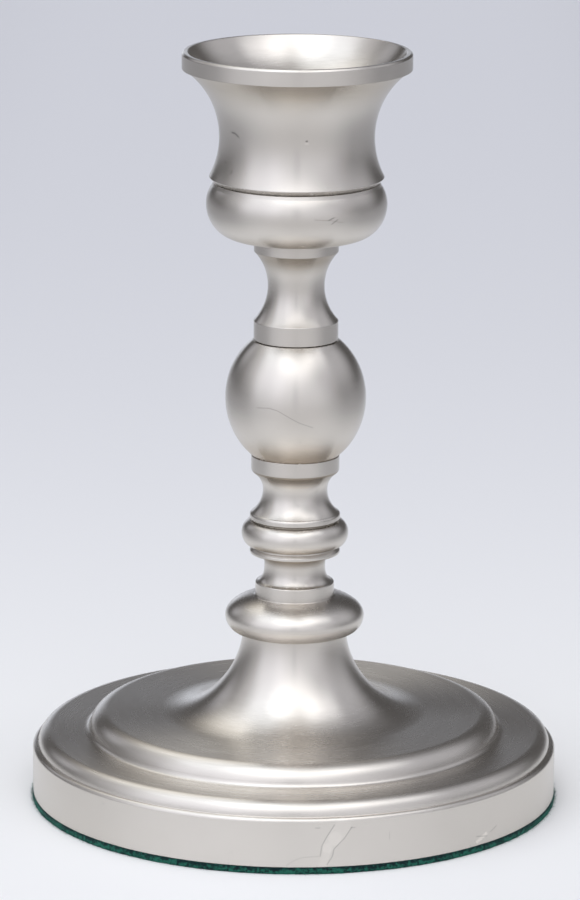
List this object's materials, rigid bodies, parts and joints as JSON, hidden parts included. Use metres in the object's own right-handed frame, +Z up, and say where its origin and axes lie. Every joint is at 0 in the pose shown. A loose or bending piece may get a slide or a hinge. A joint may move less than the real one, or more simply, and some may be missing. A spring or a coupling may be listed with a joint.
{
  "type": "candlestick",
  "caption": "Turned metal candlestick: stepped round foot with a felt pad, baluster column of stacked knops and spools, and a flared cup that holds one taper candle.",
  "frame": {"origin": "middle of the felt pad's underside, on the surface that the candlestick stands on", "axes": "+Z up along the turned axis; X and Y lie in the standing surface"},
  "size_m": [0.102, 0.102, 0.1462],
  "materials": {
    "satin_nickel": "satin nickel plate over turned brass, fine lathe lines, clear lacquer peeling on the foot's band",
    "zinc_steel": "plain zinc-plated steel, hidden in the foot",
    "green_felt": "dark green pressed felt with a fuzzy cut edge"
  },
  "bodies": {
    "root": {"felt_pad": "green_felt", "foot": "satin_nickel", "cushion_knop": "satin_nickel", "cove_spool": "satin_nickel", "bead_ring": "satin_nickel", "vase_spool": "satin_nickel", "ball_knop": "satin_nickel", "neck_spool": "satin_nickel", "cup_bowl": "satin_nickel", "candle_cup": "satin_nickel", "flat_washer": "zinc_steel", "lock_washer": "zinc_steel", "hex_nut": "zinc_steel", "tie_rod": "zinc_steel"}
  },
  "joints": []
}
